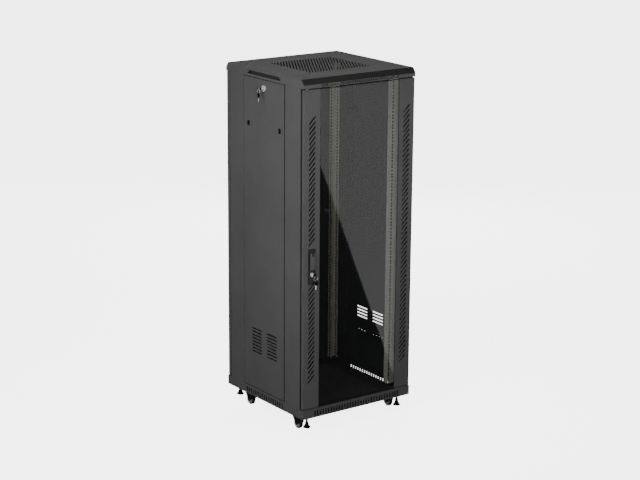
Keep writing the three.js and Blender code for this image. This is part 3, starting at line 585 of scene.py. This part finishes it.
def key_bow(bm, matrix):
    """A moulded bow with a hole, crowned towards its middle."""
    layers = []
    for inset, height in BOW_RINGS:
        outer, inner = [], []
        for i in range(BOW_STEPS):
            angle = 2 * math.pi * i / BOW_STEPS
            for ring, reach in ((outer, bow_edge(angle) - inset), (inner, KEY_HOLE + inset / 2)):
                ring.append(bm.verts.new(matrix @ FLAT @ Vector((
                    reach * math.cos(angle) - KEY_HOLE_OUT, reach * math.sin(angle), height))))
        layers.append((outer, inner))
    for i in range(BOW_STEPS):
        j = (i + 1) % BOW_STEPS
        for (outer_a, inner_a), (outer_b, inner_b) in zip(layers, layers[1:]):
            bm.faces.new((outer_a[i], outer_a[j], outer_b[j], outer_b[i]))
            bm.faces.new((inner_a[j], inner_a[i], inner_b[i], inner_b[j]))
        for outer, inner in (layers[0], layers[-1]):
            bm.faces.new((outer[i], outer[j], inner[j], inner[i]))


def key_blade(bm, matrix):
    """A flat blade with its cuts along one edge."""
    start = KEY_LENGTH / 2 - BLADE_SUNK
    shoulder = start + 3 * MM
    tip = KEY_LENGTH / 2 + KEY_BLADE
    outline = [(start, -NECK_HALF), (shoulder, -NECK_HALF), (shoulder, -BLADE_HALF),
               (tip - 2 * MM, -BLADE_HALF), (tip, -1.0 * MM), (tip, 0.6 * MM),
               (tip - 1.6 * MM, NECK_HALF)]
    for i, depth in enumerate(CUTS):
        cut_at = tip - FIRST_CUT - CUT_PITCH * i
        outline += [(cut_at + CUT_PITCH / 4, BLADE_HALF - depth),
                    (cut_at - CUT_PITCH / 4, BLADE_HALF - depth),
                    (cut_at - CUT_PITCH / 2, BLADE_HALF - 0.2 * MM)]
    outline += [(shoulder, BLADE_HALF), (shoulder, NECK_HALF), (start, NECK_HALF)]
    plate(bm, outline, -BLADE_THICKNESS / 2, BLADE_THICKNESS / 2, matrix @ FLAT)


def make_key(node, body, matrix, ring=None):
    """A key in place of its CAD node: bow, blade and, on some, the ring."""
    bm = bmesh.new()
    key_bow(bm, matrix)
    head = finish_mesh(node + "_bow", bm, PLASTIC, body, smooth=40)
    bm = bmesh.new()
    key_blade(bm, matrix)
    blade = finish_mesh(node + "_blade", bm, NICKEL, body, bevel=0.12 * MM)
    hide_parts(node)
    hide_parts(node)
    if ring is not None:
        bm = bmesh.new()
        torus(bm, RING_RADIUS, RING_WIRE, ring)
        wire = finish_mesh(node + "_ring", bm, NICKEL, body, smooth=60)
        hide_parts(node)


def turn(*steps):
    """Turns about the row frame's axes, the first given first."""
    matrix = Matrix.Identity(4)
    for degrees, axis in steps:
        matrix = Matrix.Rotation(math.radians(degrees), 4, axis) @ matrix
    return matrix


BOW_HALF = KEY_LENGTH / 2
RING_DROP = RING_RADIUS + RING_WIRE


def front_key():
    low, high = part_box("front_key")
    at = Vector(((low.x + high.x) / 2, low.y + BOW_HALF, middle("front_lock").z))
    ring_at = Vector((at.x, at.y - KEY_HOLE_OUT, low.z + RING_DROP))
    make_key("front_key", "front_lock", Matrix.Translation(at),
             Matrix.Translation(ring_at) @ turn((90, "X")))


def side_keys():
    lock_z = middle("side_key_right").z
    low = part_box("side_key_left")[0]
    at = Vector((low.x + BOW_HALF, 0, lock_z))
    ring_at = Vector((at.x - KEY_HOLE_OUT, low.y + RING_DROP, low.z + RING_DROP))
    make_key("side_key_left", "side_lock_left", Matrix.Translation(at) @ turn((90, "Y"), (-90, "Z")),
             Matrix.Translation(ring_at) @ turn((90, "Y")))
    at = Vector((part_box("side_key_right")[1].x - BOW_HALF, 0, lock_z))
    make_key("side_key_right", "side_lock_right", Matrix.Translation(at) @ turn((90, "Y"), (90, "Z")))


def rear_key():
    at = middle("rear_key")
    at.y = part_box("rear_key")[1].y - BOW_HALF
    make_key("rear_key", "rear_lock", Matrix.Translation(at) @ turn((180, "Z")))


def spare_keys():
    """The second keys, which hang from the rings with their blades down."""
    for node, body, twist in (("front_spare_key", "front_spare_key", SPARE_TWIST),
                              ("side_spare_key_left", "side_spare_key_left", 90 + SPARE_TWIST)):
        at = middle(node)
        at.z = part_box(node)[1].z - BOW_HALF
        make_key(node, body, Matrix.Translation(at) @ turn((-90, "X"), (twist, "Z")))


front_key()
side_keys()
rear_key()
spare_keys()

# ------------------------------------------------------------------ casters and feet

# Profiles are (distance from the axle, distance out from the wheel's or the fork's face).
HUB_PROFILE = in_mm([(4.2, 0.0), (4.2, 1.2), (6.5, 1.5), (7.5, 0.9), (11.0, 0.6), (13.5, 0.9),
                     (13.8, 0.0), (4.2, 0.0)])
RIM_PROFILE = in_mm([(16.4, -2.0), (16.9, 0.7), (18.4, 1.0), (19.6, 0.7), (19.8, -1.0),
                     (16.4, -2.0)])
AXLE_NUT_PROFILE = in_mm([(0, 1.9), (3.4, 1.8), (4.2, 1.2), (4.6, 0), (0, 0)])
WHEEL_FACE, FORK_FACE = 9.0 * MM, 15.1 * MM  # from the wheel's middle
WHEEL_SEGMENTS = 36
PLATE_SCREW_X, PLATE_SCREW_Y = 22 * MM, 17 * MM  # from the plate's middle
PLATE_SCREW_DROP = 2.5 * MM  # from the plate's top down to the middle of a screw's head


def both_faces(bm, profile, centre, distance, segments):
    """The same turned profile on the two faces of a wheel or a fork."""
    for face in (-1, 1):
        out = facing((face, 0, 0), centre + Vector((face * distance, 0, 0)))
        lathe(bm, profile, out, segments)


def wheel_fittings(tag):
    wheel = middle(f"caster_wheel_{tag}")
    hub, rim, nuts = bmesh.new(), bmesh.new(), bmesh.new()
    both_faces(hub, HUB_PROFILE, wheel, WHEEL_FACE, WHEEL_SEGMENTS)
    both_faces(rim, RIM_PROFILE, wheel, WHEEL_FACE, WHEEL_SEGMENTS)
    both_faces(nuts, AXLE_NUT_PROFILE, wheel, FORK_FACE, HEXAGON)
    finish_mesh(f"caster_hub_{tag}", hub, HUB, f"wheel_{tag}", smooth=40)
    finish_mesh(f"caster_rim_{tag}", rim, CHROME, f"wheel_{tag}", smooth=40)
    finish_mesh(f"caster_axle_nut_{tag}", nuts, STEEL, f"caster_{tag}", smooth=30)


def plate_screws(tag):
    centre = middle(f"caster_plate_{tag}")
    head_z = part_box(f"caster_plate_{tag}")[1].z - PLATE_SCREW_DROP
    bm = bmesh.new()
    for dx in (-PLATE_SCREW_X, PLATE_SCREW_X):
        for dy in (-PLATE_SCREW_Y, PLATE_SCREW_Y):
            spot = Vector((centre.x + dx, centre.y + dy, head_z))
            screw_head(bm, facing((0, 0, -1), spot), radius=4.4 * MM, height=2.4 * MM)
    finish_mesh(f"caster_screws_{tag}", bm, STEEL, "cabinet", smooth=30)


def hexagon_nut(name, tag, body, bore, radius, low, high, chamfer_in, chamfer_up):
    """A nut round a levelling foot's stem, with its corners chamfered."""
    foot = middle(f"levelling_foot_{tag}")
    profile = [(bore, low), (radius - chamfer_in, low), (radius, low + chamfer_up),
               (radius, high - chamfer_up), (radius - chamfer_in, high), (bore, high), (bore, low)]
    bm = bmesh.new()
    lathe(bm, profile, Matrix.Translation((foot.x, foot.y, 0)), HEXAGON)
    finish_mesh(f"{name}_{tag}", bm, BLACK_SCREW, body, smooth=30)


def foot_nuts(tag):
    """One nut turns the foot, and one under the base locks it."""
    foot_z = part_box(f"levelling_foot_{tag}")[0].z
    hexagon_nut("foot_nut", tag, f"foot_{tag}", bore=5.2 * MM, radius=8.6 * MM,
                low=foot_z + 21.2 * MM, high=foot_z + 25.8 * MM,
                chamfer_in=0.4 * MM, chamfer_up=0.6 * MM)
    hexagon_nut("foot_locknut", tag, "cabinet", bore=5.4 * MM, radius=10.0 * MM,
                low=BASE_Z - 7.0 * MM, high=BASE_Z - 0.3 * MM,
                chamfer_in=0.8 * MM, chamfer_up=0.8 * MM)


for end, _ in ENDS:
    for hand, _ in SIDES:
        wheel_fittings(f"{end}_{hand}")
        plate_screws(f"{end}_{hand}")
        foot_nuts(f"{end}_{hand}")

# ------------------------------------------------------------------ stage, light and camera

BACKDROP_GLOW = 4.5  # of the floor and of the world behind it, as the camera sees them
WORLD_LIGHT = 0.05  # what the world gives to everything else
FLOOR_HALF = 40.0
CARD_Y = -2.5
# X and Z of its corners: left edge's bend, top left, top right, bottom right, bottom left.
CARD_CORNERS = ((1.238, 1.0), (0.995, 1.55), (3.6, 1.55), (3.6, -1.6), (2.30, -1.6))
CARD_GLOW = 1.36


def glowing(name, tone, glow):
    m = Nodes(name)
    m.put(Base_Color=(*grey(tone), 1.0), Roughness=0.9, Specular_IOR_Level=0.0)
    m.put(Emission_Color=(1, 1, 1, 1), Emission_Strength=glow)
    return m.material


def stage_sheet(name, corners, material):
    mesh = bpy.data.meshes.new(name)
    mesh.from_pydata(corners, [], [tuple(range(len(corners)))])
    obj = bpy.data.objects.new(name, mesh)
    bpy.context.scene.collection.objects.link(obj)
    mesh.materials.append(material)
    return obj


floor = stage_sheet("studio_floor", [(-FLOOR_HALF, -FLOOR_HALF, 0), (FLOOR_HALF, -FLOOR_HALF, 0),
                                     (FLOOR_HALF, FLOOR_HALF, 0), (-FLOOR_HALF, FLOOR_HALF, 0)],
                    glowing("studio_floor_white", 0.8, BACKDROP_GLOW))
floor.visible_diffuse = False
floor.visible_glossy = False

# A tall pale card stands right of the camera; only shiny surfaces see it. Its left edge
# leans, which gives the glass its slanting reflection.
card = stage_sheet("studio_card", [(x, CARD_Y, z) for x, z in CARD_CORNERS],
                   glowing("studio_card_glow", 0, CARD_GLOW))
card.visible_camera = False
card.visible_diffuse = False
card.visible_shadow = False
card.visible_transmission = False


def area_light(name, at, look_at, size, power, spread=180, glossy=True):
    data = bpy.data.lights.new(name, "AREA")
    data.shape = "RECTANGLE"
    data.size, data.size_y = size
    data.energy = power
    data.spread = math.radians(spread)
    obj = bpy.data.objects.new(name, data)
    bpy.context.scene.collection.objects.link(obj)
    obj.location = at
    aim = Vector(look_at) - Vector(at)
    obj.rotation_euler = aim.to_track_quat("-Z", "Y").to_euler()
    obj.visible_glossy = glossy


area_light("key", at=(-3.1, -1.2, 4.4), look_at=(0, 0, 1.1), size=(2.2, 2.2), power=57, spread=110)
area_light("left_fill", at=(-3.5, -1.9, 1.2), look_at=(0, 0, 0.95), size=(1.4, 1.6), power=13,
           spread=100, glossy=False)
area_light("overhead", at=(-0.1, -0.1, 4.6), look_at=(-0.1, -0.1, 1.6), size=(1.4, 1.4), power=6,
           spread=60, glossy=False)
area_light("front_fill", at=(-1.7, -2.4, 1.5), look_at=(0, 0, 1.2), size=(1.0, 1.2), power=14,
           spread=90, glossy=False)
area_light("rear_fill", at=(2.6, 3.2, 2.0), look_at=(0, 0, 1.0), size=(2.5, 2.0), power=110,
           glossy=False)


def studio_world():
    """White where the camera looks past the floor, and nearly dark to everything else."""
    world = bpy.data.worlds.new("studio")
    bpy.context.scene.world = world
    world.use_nodes = True
    tree = world.node_tree
    background = tree.nodes["Background"]
    background.inputs["Color"].default_value = (1, 1, 1, 1)
    seen = tree.nodes.new("ShaderNodeLightPath")
    level = tree.nodes.new("ShaderNodeMapRange")
    level.inputs["To Min"].default_value = WORLD_LIGHT
    level.inputs["To Max"].default_value = BACKDROP_GLOW
    tree.links.new(seen.outputs["Is Camera Ray"], level.inputs["Value"])
    tree.links.new(level.outputs["Result"], background.inputs["Strength"])


CAMERA_AT = Vector((-4.55783, -6.27014, 2.84713))
YAW, PITCH, ROLL = (math.radians(a) for a in (36.05, 14.88, 0.40))
SENSOR_WIDTH, LENS = 36, 99.51


def studio_camera():
    """Looks to the right by the yaw and down by the pitch, rolled a little about its aim."""
    forward = Vector((math.sin(YAW) * math.cos(PITCH), math.cos(YAW) * math.cos(PITCH),
                      -math.sin(PITCH)))
    right = Vector((math.cos(YAW), -math.sin(YAW), 0))
    up = right.cross(forward)
    rolled_right = math.cos(ROLL) * right + math.sin(ROLL) * up
    rolled_up = -math.sin(ROLL) * right + math.cos(ROLL) * up
    columns = (rolled_right, rolled_up, -forward, CAMERA_AT)
    data = bpy.data.cameras.new("camera")
    data.sensor_width = SENSOR_WIDTH
    data.lens = LENS
    camera = bpy.data.objects.new("camera", data)
    bpy.context.scene.collection.objects.link(camera)
    camera.matrix_world = Matrix([[column[row] for column in columns] for row in range(3)]
                                 + [[0, 0, 0, 1]])
    bpy.context.scene.camera = camera


studio_world()
studio_camera()
